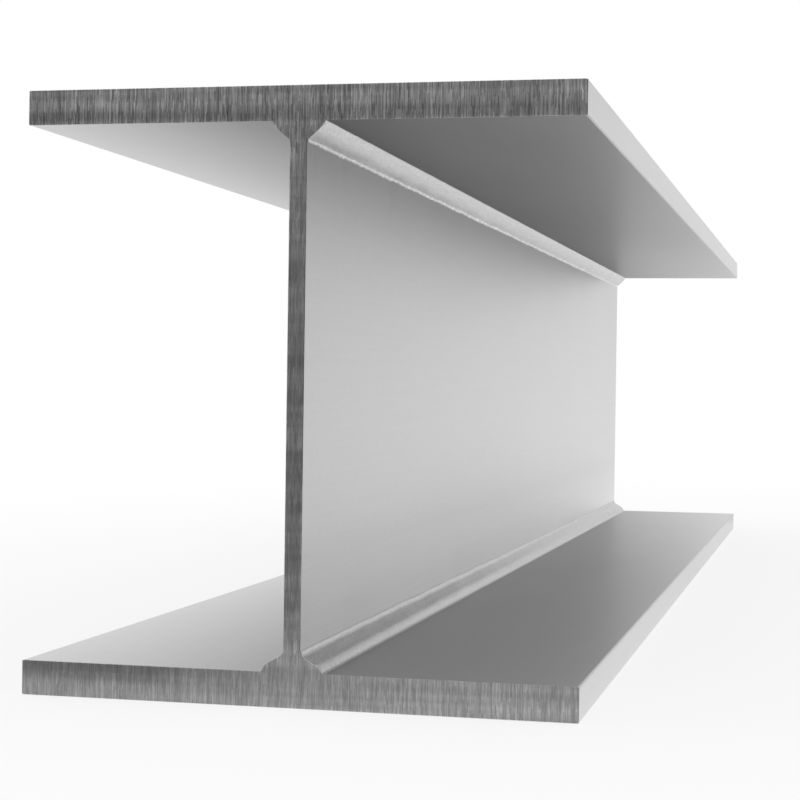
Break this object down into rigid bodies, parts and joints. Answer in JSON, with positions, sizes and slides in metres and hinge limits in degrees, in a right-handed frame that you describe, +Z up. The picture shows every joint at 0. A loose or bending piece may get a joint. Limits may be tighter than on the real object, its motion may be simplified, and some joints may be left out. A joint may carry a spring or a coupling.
{
  "type": "aluminum h-beam",
  "caption": "Straight length of H section with wide equal flanges, a thinner web, crowned root beads and square saw-cut ends, used as structural stock.",
  "frame": {"origin": "on the floor under the middle of the beam, at the bottom centre of its box", "axes": "+X across the flanges, +Y along the length away from the end that faces the camera, +Z up, square to the flanges"},
  "size_m": [0.195, 0.915, 0.21],
  "materials": {
    "aluminium": "mill finish, satin, with linished saw-cut ends"
  },
  "bodies": {
    "root": {"h_beam": "aluminium"}
  },
  "joints": []
}
